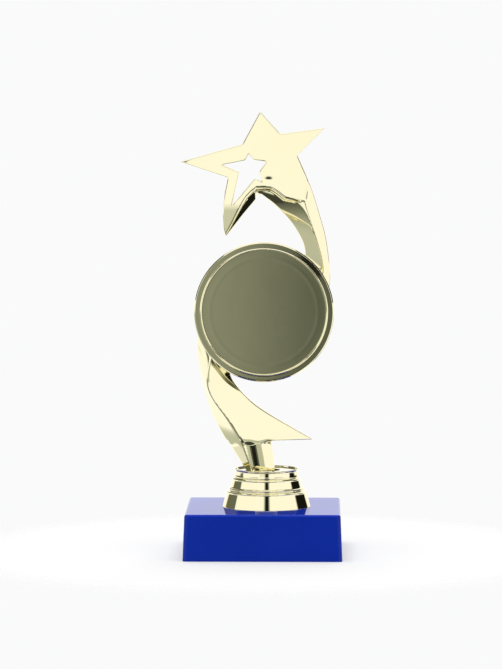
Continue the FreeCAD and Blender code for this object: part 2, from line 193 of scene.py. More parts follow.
def rolled_steel():
    """Hot-rolled plate: dark scale with rubbed bright patches and light rust."""
    material = bpy.data.materials.new("rolled_steel_plate")
    finish = Finish(material)
    place = place_on_piece(finish)
    scale = finish.noise(place, 90, 6, 0.6)
    rust = finish.ramp(finish.noise(place, 160, 6, 0.7, 1.0), 0.58, 0.72)
    grain = finish.noise(place, 1500, 3)
    steel = finish.blend(scale, (0.11, 0.115, 0.125, 1), (0.26, 0.265, 0.275, 1))
    colour = finish.blend(rust * 0.6, steel, (0.19, 0.075, 0.03, 1))
    finish.surface(
        Base_Color=colour,
        Metallic=1 - rust * 0.8,
        Roughness=0.38 + scale * 0.2 + rust * 0.25,
        Normal=finish.relief(grain, 0.03 * MM, finish.relief(scale, 0.08 * MM)),
    )
    return material


def pressed_fibreboard():
    """Brown board of pressed wood fibres, smooth but mottled."""
    material = bpy.data.materials.new("pressed_fibreboard")
    finish = Finish(material)
    place = place_on_piece(finish)
    lay = finish.node("ShaderNodeMapping", None, {"Vector": place, "Scale": (1.0, 4.0, 1.0)})
    fibres = finish.noise(lay, 900, 5, 0.65, 2.0)
    mottle = finish.noise(place, 120, 4)
    colour = finish.blend(fibres, (0.16, 0.085, 0.04, 1), (0.36, 0.22, 0.12, 1))
    shaded = finish.blend(mottle * 0.4, colour, (0.10, 0.055, 0.028, 1))
    finish.surface(
        Base_Color=shaded,
        Roughness=0.62 + fibres * 0.2,
        Normal=finish.relief(fibres, 0.08 * MM),
    )
    return material


def dark_felt():
    """Pressed felt: matted short fibres with a soft, dusty top."""
    material = bpy.data.materials.new("dark_blue_felt")
    finish = Finish(material)
    place = place_on_piece(finish)
    mat = finish.noise(place, 1800, 8, 0.75, 3.0)
    tufts = finish.noise(place, 420, 4, 0.6, 1.0)
    lint = finish.ramp(finish.noise(place, 3400, 3, 0.6, 4.0), 0.64, 0.74)
    colour = finish.blend(mat, (0.004, 0.006, 0.016, 1), (0.022, 0.028, 0.055, 1))
    dusty = finish.blend(lint * 0.35, colour, (0.12, 0.13, 0.16, 1))
    finish.surface(
        Base_Color=dusty,
        Roughness=0.9 + mat * 0.08,
        Sheen_Weight=0.5,
        Sheen_Roughness=0.45,
        Normal=finish.relief(mat, 0.22 * MM, finish.relief(tufts, 0.15 * MM)),
    )
    return material


put_finish("base_weight", rolled_steel())
put_finish("base_cover", pressed_fibreboard())
put_finish("felt_pad", dark_felt())


# ---------------------------------------------------------------------------------------
# Bolt, washers and insert
# A zinc-plated socket screw with its washers draws the column down onto the block from
# below, and turns into a knurled brass insert that is moulded into the stem's spigot.


def plated_metal(name, dull, clean, tool_marks):
    """Turned small hardware: circular tool marks under a thin plating."""
    material = bpy.data.materials.new(name)
    finish = Finish(material)
    place = place_on_piece(finish)
    cloud = finish.noise(place, 380, 4)
    lay = finish.node("ShaderNodeMapping", None, {"Vector": place, "Scale": (1.0, 1.0, 9.0)})
    lines = finish.noise(lay, tool_marks, 3, 0.6)
    finish.surface(
        Base_Color=finish.blend(cloud, dull, clean),
        Metallic=1.0,
        Roughness=0.2 + cloud * 0.12 + lines * 0.1,
        Normal=finish.relief(lines, 0.006 * MM),
    )
    return material


zinc = plated_metal("zinc_plated_steel", (0.42, 0.44, 0.47, 1), (0.66, 0.68, 0.71, 1), 1400)
for hardware in ("tie_bolt", "plain_washer", "spring_washer", "holder_screws"):
    put_finish(hardware, zinc)
brass = plated_metal("turned_brass", (0.56, 0.38, 0.13, 1), (0.78, 0.58, 0.25, 1), 1100)
put_finish("threaded_insert", brass)


# ---------------------------------------------------------------------------------------
# Foot
# A thin bell of hard plastic in three beaded tiers, metallised in vacuum under a pale
# gold lacquer. It stands on the block, and the stem goes down through its sunk deck.


def gold_lacquer(name, wave_depth, skin_depth):
    """Mirror-bright metallised plastic under a thin, slightly uneven gold lacquer."""
    material = bpy.data.materials.new(name)
    finish = Finish(material)
    place = place_on_piece(finish)
    film = finish.noise(place, 38, 3, 0.5, 0.4)
    waves = finish.noise(place, 95, 2, 0.4)
    peel = finish.noise(place, 720, 2, 0.5)
    rubbed = finish.ramp(finish.noise(place, 300, 6, 0.66, 2.2), 0.60, 0.76)
    pale = (0.975, 0.925, 0.665, 1)
    rich = (0.915, 0.850, 0.560, 1)
    colour = finish.blend(film, rich, pale)
    roughness = 0.035 + film * 0.025 + rubbed * 0.045
    flow = finish.relief(waves, wave_depth)
    skin = finish.relief(peel, skin_depth, flow)
    finish.surface(Base_Color=colour, Metallic=1.0, Roughness=roughness, Normal=skin)
    return material


CORNER_POINTS = 9
LONGEST_ROUNDING = 0.48  # of the run beside the corner


def rounded_profile(corners, spacing):
    """Rounds the corners (radius, level, rounding) of a profile and divides its runs."""
    count = len(corners)
    path = []
    for number in range(count):
        radius, level, rounding = corners[number]
        here = np.array((radius, level))
        before = np.array(corners[max(number - 1, 0)][:2])
        after = np.array(corners[min(number + 1, count - 1)][:2])
        back = before - here
        on = after - here
        shorter = min(np.linalg.norm(back), np.linalg.norm(on))
        reach = min(rounding, LONGEST_ROUNDING * shorter)
        if reach == 0:
            path.append(here)
            continue
        start = here + back / np.linalg.norm(back) * reach
        end = here + on / np.linalg.norm(on) * reach
        for share in np.linspace(0, 1, CORNER_POINTS):
            rest = 1 - share
            path.append(rest**2 * start + 2 * share * rest * here + share**2 * end)
    points = [path[0]]
    for first, second in zip(path, path[1:]):
        pieces = max(1, math.ceil(np.linalg.norm(second - first) / spacing))
        for piece in range(1, pieces + 1):
            points.append(first + (second - first) * piece / pieces)
    return points


DOUBLES_WITHIN = 0.0005 * MM
SLIVERS_WITHIN = 0.0002 * MM


def lathe_tree():
    """Geometry Nodes that turn a profile line about the upright axis."""
    tree = bpy.data.node_groups.new("turned_on_a_lathe", "GeometryNodeTree")
    for name, kind in (("Profile", "Geometry"), ("Steps Round", "Int"), ("Finish", "Material")):
        tree.interface.new_socket(name, in_out="INPUT", socket_type="NodeSocket" + kind)
    tree.interface.new_socket("Piece", in_out="OUTPUT", socket_type="NodeSocketGeometry")
    lathe = NodeMaker(tree)
    add = lathe.node

    profile = add("NodeGroupInput", output="Profile")
    steps = add("NodeGroupInput", output="Steps Round")
    finish = add("NodeGroupInput", output="Finish")
    count = add("GeometryNodeAttributeDomainSize", None, {0: profile}, output="Point Count")
    sheet = add("GeometryNodeMeshGrid", None, {"Vertices X": steps + 1, "Vertices Y": count})
    across, along, _ = lathe.parts(add("GeometryNodeInputPosition"))
    angle = (across + 0.5) * math.tau
    row = (along + 0.5) * (count - 1)
    corner = add(
        "GeometryNodeSampleIndex",
        {"data_type": "FLOAT_VECTOR"},
        {
            "Geometry": profile,
            "Value": add("GeometryNodeInputPosition"),
            "Index": row.maths("ROUND", row),
        },
    )
    radius, _, level = lathe.parts(corner)
    turned = {
        "X": angle.maths("COSINE", angle) * radius,
        "Y": angle.maths("SINE", angle) * radius,
        "Z": level,
    }
    place = add("ShaderNodeCombineXYZ", None, turned)
    shape = add("GeometryNodeSetPosition", None, {"Geometry": sheet, "Position": place})
    closed = {"Geometry": shape, "Distance": DOUBLES_WITHIN}
    merged = add("GeometryNodeMergeByDistance", None, closed)
    smooth = add("GeometryNodeSetShadeSmooth", None, {"Geometry": merged})
    whole = add("GeometryNodeRealizeInstances", None, {"Geometry": smooth})
    coated = add("GeometryNodeSetMaterial", None, {"Geometry": whole, "Material": finish})
    add("NodeGroupOutput", None, {"Piece": coated})
    return tree


def made_by(tree, source, **inputs):
    """Runs a Geometry Nodes tree on a mesh object and returns the result as a plain mesh."""
    modifier = source.modifiers.new("making", "NODES")
    modifier.node_group = tree
    for item in tree.interface.items_tree:
        name = item.name.replace(" ", "_")
        if item.in_out == "INPUT" and name in inputs:
            modifier[item.identifier] = inputs[name]
    finished = source.evaluated_get(bpy.context.evaluated_depsgraph_get())
    mesh = bpy.data.meshes.new_from_object(finished)
    bpy.data.objects.remove(source)
    return mesh


def close_and_face_out(mesh):
    """Merges a mesh's doubles and turns its faces outwards."""
    work = bmesh.new()
    work.from_mesh(mesh)
    bmesh.ops.remove_doubles(work, verts=work.verts, dist=DOUBLES_WITHIN)
    bmesh.ops.dissolve_degenerate(work, edges=work.edges, dist=SLIVERS_WITHIN)
    bmesh.ops.recalc_face_normals(work, faces=work.faces)
    work.to_mesh(mesh)
    work.free()
    mesh.shade_smooth()


def show_piece(name, mesh, slot_name, *stands_for):
    """Puts a finished mesh in the scene in place of its CAD nodes."""
    mesh.name = name
    piece = bpy.data.objects.new(name, mesh)
    bpy.context.scene.collection.objects.link(piece)
    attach(piece, "root")
    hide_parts(*stands_for)


LATHE = lathe_tree()
STEPS_ROUND = 224


def turned_mesh(name, corners, spacing, material):
    """A closed profile in millimetres turned about the upright axis, as a plain mesh."""
    points = rounded_profile(corners, spacing)
    line = bpy.data.meshes.new(name + "_profile")
    spots = [(radius * MM, 0, level * MM) for radius, level in points]
    line.from_pydata(spots, [(i, i + 1) for i in range(len(spots) - 1)], [])
    source = bpy.data.objects.new(name + "_profile", line)
    bpy.context.scene.collection.objects.link(source)
    mesh = made_by(LATHE, source, Steps_Round=STEPS_ROUND, Finish=material)
    close_and_face_out(mesh)
    return mesh


foot_low, foot_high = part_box("foot")
COLUMN_X = (foot_low.x + foot_high.x) / 2 / MM
FOOT_BOTTOM = foot_low.z / MM
FOOT_TOP = foot_high.z / MM
FOOT_RADIUS = (foot_high.x - foot_low.x) / 2 / MM
DECK_SUNK = 0.6
DECK_TOP = FOOT_TOP - DECK_SUNK
DECK_THICKNESS = 1.4
STEM_OPENING = 5.6
FOOT_SPACING = 0.4


def foot_corners():
    """The foot's outside from the block up, its sunk deck, and its inside down again."""
    height = FOOT_TOP - FOOT_BOTTOM
    deck_bottom = DECK_TOP - DECK_THICKNESS
    # Radius, share of the height and rounding: three tiers with a bead over each.
    outside = [
        (18.3, 0.000, 0.05), (18.25, 0.014, 0.12), (16.55, 0.372, 0.22), (16.62, 0.398, 0.22),
        (16.15, 0.420, 0.16), (15.55, 0.434, 0.18), (15.45, 0.452, 0.14), (15.62, 0.474, 0.16),
        (15.45, 0.498, 0.18), (14.95, 0.514, 0.25), (14.05, 0.715, 0.20), (14.15, 0.738, 0.20),
        (13.75, 0.764, 0.18), (13.30, 0.778, 0.14), (13.50, 0.802, 0.16), (13.40, 0.826, 0.16),
        (13.30, 0.842, 0.16), (13.00, 0.945, 0.20), (13.45, 0.985, 0.12), (13.35, 1.000, 0.12),
    ]
    ratio = FOOT_RADIUS / outside[0][0]
    corners = [
        (radius * ratio, FOOT_BOTTOM + share * height, rounding)
        for radius, share, rounding in outside
    ]
    # Over the lip, across the sunk deck to the stem's opening, and down the inside.
    corners += [
        (12.75, FOOT_TOP, 0.15), (12.6, DECK_TOP, 0.12), (STEM_OPENING, DECK_TOP, 0.1),
        (STEM_OPENING, deck_bottom, 0.1), (10.6, deck_bottom, 0.8), (12.2, 27.5, 0.5),
        (13.8, 26.0, 0.5), (16.7, FOOT_BOTTOM, 0.1), (corners[0][0], corners[0][1], 0),
    ]
    corners[0] = (corners[0][0], corners[0][1], 0)
    return corners


FIGURE_GOLD = gold_lacquer("gold_lacquer_figure", 0.010 * MM, 0.0004 * MM)
foot_mesh = turned_mesh("foot", foot_corners(), FOOT_SPACING, FIGURE_GOLD)
foot_mesh.transform(Matrix.Translation((COLUMN_X * MM, 0, 0)))
show_piece("gold_foot", foot_mesh, "gold_metallised", "foot")


# ---------------------------------------------------------------------------------------
# Figure
# Star, ribbon and stem are one hollow moulding of hard plastic with a mirror gold skin.
# The mould opens front to back, so each place within the outline has one depth at the
# front and one at the back. The stem stands in the foot and the holder covers the hub.

# Places (x, y, z) in millimetres from the column's axis at the deck: the ribbon's left
# edge, its ridge and its right edge, from the star down to the fishtail.
RIBBON = [
    ((-5.2, -0.2, 117.9), (9.8, 0.6, 123.2), (13.4, 1.2, 127.3)),
    ((-2.4, 0.4, 114.2), (12.4, -2.4, 118.0), (15.8, -1.4, 122.5)),
    ((2.8, 0.7, 110.1), (14.9, -4.5, 111.9), (19.0, -2.5, 114.9)),
    ((9.0, 0.3, 103.9), (17.4, -5.8, 105.2), (22.1, -3.2, 104.9)),
    ((13.2, 0.5, 97.7), (19.9, -6.6, 97.9), (24.2, -3.9, 97.3)),
    ((15.8, 1.0, 90.9), (22.2, -6.7, 90.3), (25.6, -4.4, 88.5)),
    ((14.8, 1.0, 83.9), (23.2, -6.6, 81.5), (26.2, -3.6, 78.5)),
    ((8.8, 1.0, 78.5), (18.2, -6.6, 72.9), (23.2, 1.0, 69.1)),
    ((-1.2, 1.0, 74.9), (7.2, -6.6, 67.5), (13.8, 0.0, 61.5)),
    ((-12.0, 1.0, 72.1), (-5.0, -6.6, 63.7), (1.4, -1.0, 56.3)),
    ((-21.6, 1.0, 67.1), (-15.4, -6.6, 58.5), (-8.8, -1.8, 51.5)),
    ((-27.4, 1.0, 59.3), (-21.2, -6.6, 50.9), (-14.2, -2.2, 45.5)),
    ((-28.5, 1.0, 49.9), (-23.6, -6.7, 42.9), (-14.8, -2.4, 39.3)),
    ((-27.3, 1.0, 40.3), (-24.2, -6.7, 34.9), (-10.6, -2.4, 32.9)),
    ((-24.8, 1.0, 29.7), (-20.6, -6.7, 27.5), (-3.6, -2.2, 26.5)),
    ((-20.8, 1.0, 19.5), (-15.0, -6.6, 20.1), (7.2, -1.6, 19.7)),
    ((-16.0, 1.0, 10.9), (-10.4, -6.2, 12.5), (19.2, -1.0, 12.7)),
]

# Outlines as (x, z) in the same millimetres, each taken once round.
STAR = [
    (-35.7, 127.2), (-9.9, 134.5), (-2.7, 147.9), (5.6, 138.7), (24.0, 141.1),
    (12.6, 129.9), (16.2, 121.9), (19.4, 113.5), (10.8, 112.1), (1.8, 114.7), (-2.4, 114.2),
    (-9.3, 106.0), (-16.6, 96.7), (-17.5, 99.9), (-17.9, 105.9), (-17.2, 113.9), (-15.8, 120.8),
]
# The star's flat face stops short of the outline on the lower leg and over the ribbon.
STAR_FACE = [
    (-36.5, 127.1), (-10.4, 135.3), (-2.7, 149.3), (6.0, 139.5), (25.6, 142.0),
    (13.6, 130.0), (17.6, 121.0), (16.2, 110.4), (13.8, 110.3), (10.7, 111.5), (7.5, 112.3),
    (4.4, 114.7), (2.0, 116.2), (-0.3, 116.6), (-3.9, 116.5), (-5.8, 115.2), (-8.2, 112.7),
    (-10.5, 108.8), (-13.7, 102.5), (-16.8, 97.0), (-18.4, 99.9), (-18.7, 105.9), (-18.0, 113.9),
    (-16.6, 120.4),
]
CUTOUT = [
    (-7.2, 130.7), (-5.4, 128.1), (0.0, 127.4), (-2.9, 123.3), (-1.8, 119.0),
    (-4.6, 120.7), (-14.2, 109.2), (-11.2, 123.1), (-18.5, 126.0), (-8.7, 127.9),
]
BLADE = [(-16.8, 13.4), (-13.1, 7.1), (-8.1, -0.4), (-3.0, -0.4), (-3.0, 13.4)]
HUB_CENTRE = (-0.9, 66.0)
HUB_RADIUS = 14.0
# The stem's level, left side, fold and right side: flat to the fold, then rolled back.
STEM = [(-0.5, -6.1, -3.5, 3.6), (6.5, -7.3, -4.3, 2.9), (13.5, -8.7, -5.1, 1.9)]

# Depths (y) from the column's axis, towards the back.
STAR_FRONT = -6.7
HUB_FRONT = -7.0
STEM_FRONT = -4.6
PARTING = 3.4
BESIDE = 99.0  # where a part has no surface
# How far the parts of the front reach past their own outlines, so that they meet.
LAP = 0.3
NARROW_LAP = 0.2
STAR_LAP = 1.5


def smooth_through(points, count):
    """Points along the smooth curve through the given ones."""
    points = np.array(points, float)
    last = len(points) - 1
    system = np.eye(last + 1)
    bend = np.zeros_like(points)
    for row in range(1, last):
        system[row, row - 1 : row + 2] = (1, 4, 1)
        bend[row] = 6 * (points[row - 1] - 2 * points[row] + points[row + 1])
    curvature = np.linalg.solve(system, bend)
    curve = []
    for place in np.linspace(0, last, count):
        start = min(int(place), last - 1)
        t = place - start
        s = 1 - t
        curve.append(
            points[start] * s + points[start + 1] * t
            + curvature[start] * (s**3 - s) / 6 + curvature[start + 1] * (t**3 - t) / 6
        )
    return np.array(curve)


def soft_ramp(value, rounding):
    """0 below 0 and value above it, with the corner rounded."""
    return rounding * np.logaddexp(0, value / rounding)


ALONG = 320
ACROSS = 33
EDGE_LAP = 0.05
END_LAP = 3
RIDGE_ROUNDING = 0.012
RIDGE_ROUNDING_AT_STAR = 0.2
RIDGE_SOFT_SHARE = 0.13

left_edge = smooth_through([row[0] for row in RIBBON], ALONG)
ridge = smooth_through([row[1] for row in RIBBON], ALONG)
right_edge = smooth_through([row[2] for row in RIBBON], ALONG)


def ribbon_skin():
    """The ribbon's front as rows of points, with its ridge softer towards the star."""
    share = np.linspace(0, 1, ALONG)
    near_star = np.exp(-((share / RIDGE_SOFT_SHARE) ** 2))
    rounding = RIDGE_ROUNDING + RIDGE_ROUNDING_AT_STAR * near_star
    rows = []
    for across in np.linspace(-EDGE_LAP, 2 + EDGE_LAP, ACROSS):
        beyond = soft_ramp(np.full(ALONG, across - 1), rounding)[:, None]
        before = across - beyond
        row = left_edge + (ridge - left_edge) * before + (right_edge - ridge) * beyond
        rows.append(row)
    rows = np.array(rows)
    first = rows[:, :1] + END_LAP * (rows[:, :1] - rows[:, 1:2])
    last = rows[:, -1:] + END_LAP * (rows[:, -1:] - rows[:, -2:-1])
    return np.concatenate([first, rows, last], axis=1)


WELL_IN_FRONT = -50
BACKWARDS = Vector((0, 1, 0))


def depth_finder(rows):
    """A function that gives a skin's depth behind each (x, z)."""
    wide, long = rows.shape[:2]
    spots = [Vector(p) for p in rows.reshape(-1, 3)]
    quads = []
    for a in range(wide - 1):
        for b in range(long - 1):
            corner = a * long + b
            quads.append((corner, corner + 1, corner + long + 1, corner + long))
    tree = BVHTree.FromPolygons(spots, quads)

    def depth(flat):
        found = np.full(len(flat), BESIDE)
        for number, (x, z) in enumerate(flat):
            place, *_ = tree.ray_cast(Vector((x, WELL_IN_FRONT, z)), BACKWARDS)
            if place is not None:
                found[number] = place.y
        return found

    return depth


def distance_into(polygon, flat):
    """Signed distance to a polygon's outline, positive outside."""
    corners = np.array(polygon, float)
    ahead = np.roll(corners, -1, axis=0)
    nearest = np.full(len(flat), np.inf)
    inside = np.zeros(len(flat), bool)
    for a, b in zip(corners, ahead):
        run = b - a
        t = np.clip(((flat - a) @ run) / (run @ run), 0, 1)
        nearest = np.minimum(nearest, np.linalg.norm(flat - a - t[:, None] * run, axis=1))
        crosses = (a[1] > flat[:, 1]) != (b[1] > flat[:, 1])
        with np.errstate(divide="ignore", invalid="ignore"):
            reach = (b[0] - a[0]) * (flat[:, 1] - a[1]) / (b[1] - a[1]) + a[0]
        inside ^= crosses & (flat[:, 0] < reach)
    return np.where(inside, -nearest, nearest)


STAR_DEPTH = 4.9
STAR_BEND = 20.0
STAR_BEND_START = 106.3
STAR_LEAN = math.radians(18)
STAR_BULGE = 150.0


def star_plate_depth(flat, offset):
    """Depth of the star's bent and bulged plate, or of the layer behind it by offset."""
    x = flat[:, 0]
    rise = flat[:, 1] - STAR_BEND_START
    bend = STAR_BEND - offset
    bend_height = bend * math.sin(STAR_LEAN)
    curve = bend - np.sqrt(bend**2 - np.clip(rise, 0, bend_height) ** 2)
    straight = np.maximum(rise - bend_height, 0) * math.tan(STAR_LEAN)
    profile = STAR_FRONT + offset + curve + straight
    axis = STAR_FRONT + STAR_BULGE
    return axis - np.sqrt((axis - profile) ** 2 - x**2)


# The skirt round the star's face is steeper over the ribbon, between its two side limits.
SKIRT_SLOPE = 1.7
SKIRT_OVER_RIBBON = 5.0
SKIRT_ROUNDING = 0.16
RIBBON_FROM = -3.9
RIBBON_TO = 16.5
LEG_BLEND = 0.5
# A shallow sink mark beside the cut-out, over a rib inside the moulding.
SINK_PLACE = (0.9, 119.6)
SINK_WIDTH = 2.3
SINK_HEIGHT = 1.5
SINK_DEPTH = 0.060


def star_depth(flat):
    """The star's front: its face with the sink mark, and the skirt that falls away round it."""
    x, z = flat.T
    from_sink = np.hypot((x - SINK_PLACE[0]) / SINK_WIDTH, (z - SINK_PLACE[1]) / SINK_HEIGHT)
    sink = SINK_DEPTH * np.exp(-(from_sink**2))
    off_ribbon = np.clip((RIBBON_FROM - x) / LEG_BLEND, 0, 1) + np.clip(x - RIBBON_TO, 0, 1)
    slope = SKIRT_OVER_RIBBON + (SKIRT_SLOPE - SKIRT_OVER_RIBBON) * off_ribbon
    past_face = soft_ramp(distance_into(STAR_FACE, flat), SKIRT_ROUNDING)
    return star_plate_depth(flat, 0) + slope * past_face + sink


def stem_sides(level):
    """The stem's left side, fold and right side at each level."""
    levels, *places = zip(*STEM)
    return [np.interp(level, levels, place) for place in places]


STEM_LEAN = math.tan(math.radians(2.5))
BACK_LAP = 1.1  # of the stem's half width


def stem_front(flat):
    """The stem's flat leaning front and its rolled right side."""
    left, fold, right = stem_sides(flat[:, 1])
    share = np.clip((flat[:, 0] - fold) / (right - fold), 0, 1)
    front = STEM_FRONT * np.sqrt(1 - share**2) - STEM_LEAN * flat[:, 1] * (1 - share)
    between = (flat[:, 0] > left - NARROW_LAP) & (flat[:, 0] < right + LAP)
    return np.where(between & (flat[:, 1] < STEM[-1][0]), front, BESIDE)


def stem_back(flat):
    """The stem's rounded back."""
    left, fold, right = stem_sides(flat[:, 1])
    share = (flat[:, 0] - (left + right) / 2) / ((right - left) / 2)
    back = -STEM_FRONT * np.sqrt(np.maximum(1 - share**2, 0))
    on_stem = (np.abs(share) < BACK_LAP) & (flat[:, 1] < STEM[-1][0])
    return np.where(on_stem, back, -BESIDE)


# The ribbon's ridge runs on down beside the stem, as (level, x, y), and its two flanks
# fall away from it by these slopes.
BLADE_RIDGE = [(-0.5, -5.7, -4.75), (12.5, -10.4, -6.2)]
BLADE_SLOPE = 1.25
BLADE_TO_STEM = 0.42


def blade_front(flat):
    """The ribbon's ridge and flanks, drawn out to a point beside the stem."""
    levels, across, depths = zip(*BLADE_RIDGE)
    beyond = flat[:, 0] - np.interp(flat[:, 1], levels, across)
    slope = np.where(beyond < 0, -BLADE_SLOPE, BLADE_TO_STEM)
    front = np.interp(flat[:, 1], levels, depths) + slope * beyond
    return np.where(distance_into(BLADE, flat) < LAP, front, BESIDE)


def softest(depths, rounding):
    """The foremost of several depths, with the joins rounded."""
    stack = np.stack(depths)
    front = stack.min(axis=0)
    return front - rounding * np.log(np.exp((front - stack) / rounding).sum(axis=0))


def sides_of(faces):
    """Each face's sides as pairs of corners, in the order that the face goes round."""
    return {(face[i - 1], face[i]) for face in faces for i in range(len(face))}


# The join of fishtail and stem is rounded more: its start, end, reach and passes.
FISHTAIL_JOIN = [(-15.5, 11.6), (2.2, 12.9)]
FISHTAIL_REACH = 1.1
FISHTAIL_PASSES = 14


def join_softened(flat, faces, front):
    """Evens out the front's depth around the join that is rounded more."""
    sides = np.array(sorted(sides_of(faces)))
    ends = np.concatenate([sides, sides[:, ::-1]])
    share = np.exp(-((distance_into(FISHTAIL_JOIN, flat) / FISHTAIL_REACH) ** 2))
    count = np.bincount(ends[:, 0], minlength=len(flat))
    for _ in range(FISHTAIL_PASSES):
        around = np.bincount(ends[:, 0], weights=front[ends[:, 1]], minlength=len(flat)) / count
        front = front + (around - front) * share
    return front


ONLY_INSIDE = 1
SPOTS_MEET_WITHIN = 1e-5


def polygon_faces(polygons, spots):
    """Triangulates polygons and spots, and says which polygons each triangle lies in."""
    points = []
    rings = []
    for polygon in polygons:
        corners = np.array(polygon, float)
        ahead = np.roll(corners, -1, axis=0)
        if np.sum(corners[:, 0] * ahead[:, 1] - ahead[:, 0] * corners[:, 1]) < 0:
            polygon = polygon[::-1]
        rings.append(list(range(len(points), len(points) + len(polygon))))
        points += [Vector((float(x), float(z))) for x, z in polygon]
    points += [Vector((float(x), float(z))) for x, z in spots]
    found = delaunay_2d_cdt(points, [], rings, ONLY_INSIDE, SPOTS_MEET_WITHIN)
    return np.array([tuple(p) for p in found[0]]), found[2], found[5]


RIBBON_STEP = 4
HUB_STEPS = 96
LEAST_CORNERS = 8
RIM_SPACING = 0.3
RIM_PASSES = 3


def silhouette_loops():
    """The outline of star, ribbon, hub and stem together, with the star's cut-out."""
    around = np.vstack([left_edge[::RIBBON_STEP], right_edge[::-RIBBON_STEP]])
    ribbon_outline = around[:, (0, 2)]
    turn = np.linspace(0, math.tau, HUB_STEPS, endpoint=False)
    hub = HUB_CENTRE + HUB_RADIUS * np.stack([np.cos(turn), np.sin(turn)], axis=1)
    stem = [(left, level) for level, left, fold, right in STEM]
    stem += [(right, level) for level, left, fold, right in STEM[::-1]]
    polygons = [STAR, ribbon_outline, hub, stem, BLADE, CUTOUT]
    points, faces, members = polygon_faces(polygons, [])
    cut = len(polygons) - 1
    kept = [face for face, inside in zip(faces, members) if inside and cut not in inside]
    sides = sides_of(kept)
    following = {a: b for a, b in sides if (b, a) not in sides}
    loops = []
    while following:
        start = min(following)
        loop = [start]
        step = following.pop(start)
        while step != start:
            loop.append(step)
            step = following.pop(step)
        loops.append(points[loop])
    return [loop for loop in loops if len(loop) > LEAST_CORNERS]


def evened(loop):
    """A closed loop divided evenly, with its corners slightly rounded."""
    closed = np.vstack([loop, loop[:1]])
    lengths = np.linalg.norm(np.diff(closed, axis=0), axis=1)
    along = np.concatenate([[0], np.cumsum(lengths)])
    places = np.linspace(0, along[-1], round(along[-1] / RIM_SPACING), endpoint=False)
    even = np.stack([np.interp(places, along, side) for side in closed.T], axis=1)
    for _ in range(RIM_PASSES):
        even = (np.roll(even, 1, axis=0) + 2 * even + np.roll(even, -1, axis=0)) / 4
    return even


def rim_finder(loops):
    """A function that gives each (x, z) place's distance from the rim."""
    search = KDTree(3 * sum(len(loop) for loop in loops))
    count = 0
    for loop in loops:
        ahead = np.roll(loop, -1, axis=0)
        for share in (0, 1 / 3, 2 / 3):
            for x, z in loop + (ahead - loop) * share:
                search.insert((x, z, 0), count)
                count += 1
    search.balance()

    def from_rim(flat):
        return np.array([search.find((x, z, 0))[2] for x, z in flat])

    return from_rim


GRID = 0.36
GRID_FROM_RIM = 0.58
RIM_INSETS = (0.10, 0.24, 0.42)
INSET_KEPT = 0.9  # a row stops where another rim comes nearer than this share


def spread_spots(loops, from_rim):
    """The mesh's places: rows that follow the rim, and an even grid within them."""
    spots = []
    for inset in RIM_INSETS:
        for loop in loops:
            tangent = np.roll(loop, -1, axis=0) - np.roll(loop, 1, axis=0)
            tangent /= np.linalg.norm(tangent, axis=1)[:, None]
            moved = loop + np.stack([-tangent[:, 1], tangent[:, 0]], axis=1) * inset
            spots.append(moved[from_rim(moved) > inset * INSET_KEPT])
    rim = np.vstack(loops)
    columns = np.arange(rim[:, 0].min(), rim[:, 0].max(), GRID)
    rows = np.arange(rim[:, 1].min(), rim[:, 1].max(), GRID * math.sqrt(0.75))
    for number, level in enumerate(rows):
        across = columns + GRID / 2 * (number % 2)
        line = np.stack([across, np.full(len(across), level)], axis=1)
        spots.append(line[from_rim(line) > GRID_FROM_RIM])
    return np.vstack(spots)


def flat_net(loops, from_rim):
    """The figure's silhouette as a flat net of triangles."""
    points, faces, members = polygon_faces(loops, spread_spots(loops, from_rim))
    outer = max(range(len(loops)), key=lambda i: np.prod(np.ptp(loops[i], axis=0)))
    kept = [face for face, inside in zip(faces, members) if list(inside) == [outer]]
    used = sorted({corner for face in kept for corner in face})
    renumber = {old: new for new, old in enumerate(used)}
    return points[used], [tuple(renumber[corner] for corner in face) for face in kept]


JOIN_ROUNDING = 0.2
RIM_ROUNDING = 0.26
BACK_RIM_SHARE = 0.6
LEAST_THICKNESS = 0.4


def front_and_back(flat, faces, from_rim):
    """The depth of the front and of the back at each place of the net."""
    ribbon = depth_finder(ribbon_skin())(flat)
    blade = blade_front(flat)
    in_hub = np.linalg.norm(flat - HUB_CENTRE, axis=1) < HUB_RADIUS + NARROW_LAP
    hub = np.where(in_hub, HUB_FRONT, BESIDE)
    to_star = distance_into(STAR, flat)
    star = np.where(to_star < STAR_LAP, star_depth(flat), BESIDE)
    front = softest([ribbon, star, stem_front(flat), blade, hub], JOIN_ROUNDING)
    front = join_softened(flat, faces, front)
    inwards = np.clip(from_rim(flat), 0, RIM_ROUNDING)
    rolled = RIM_ROUNDING - np.sqrt(RIM_ROUNDING**2 - (RIM_ROUNDING - inwards) ** 2)
    front = front + rolled

    star_back = np.where(to_star < LAP, star_plate_depth(flat, STAR_DEPTH), -BESIDE)
    closed_flat = (ribbon < BESIDE) | in_hub | (blade < BESIDE)
    flat_back = np.where(closed_flat, PARTING, -BESIDE)
    back = -softest([-star_back, -flat_back, -stem_back(flat)], JOIN_ROUNDING)
    return front, np.maximum(back - rolled * BACK_RIM_SHARE, front + LEAST_THICKNESS)


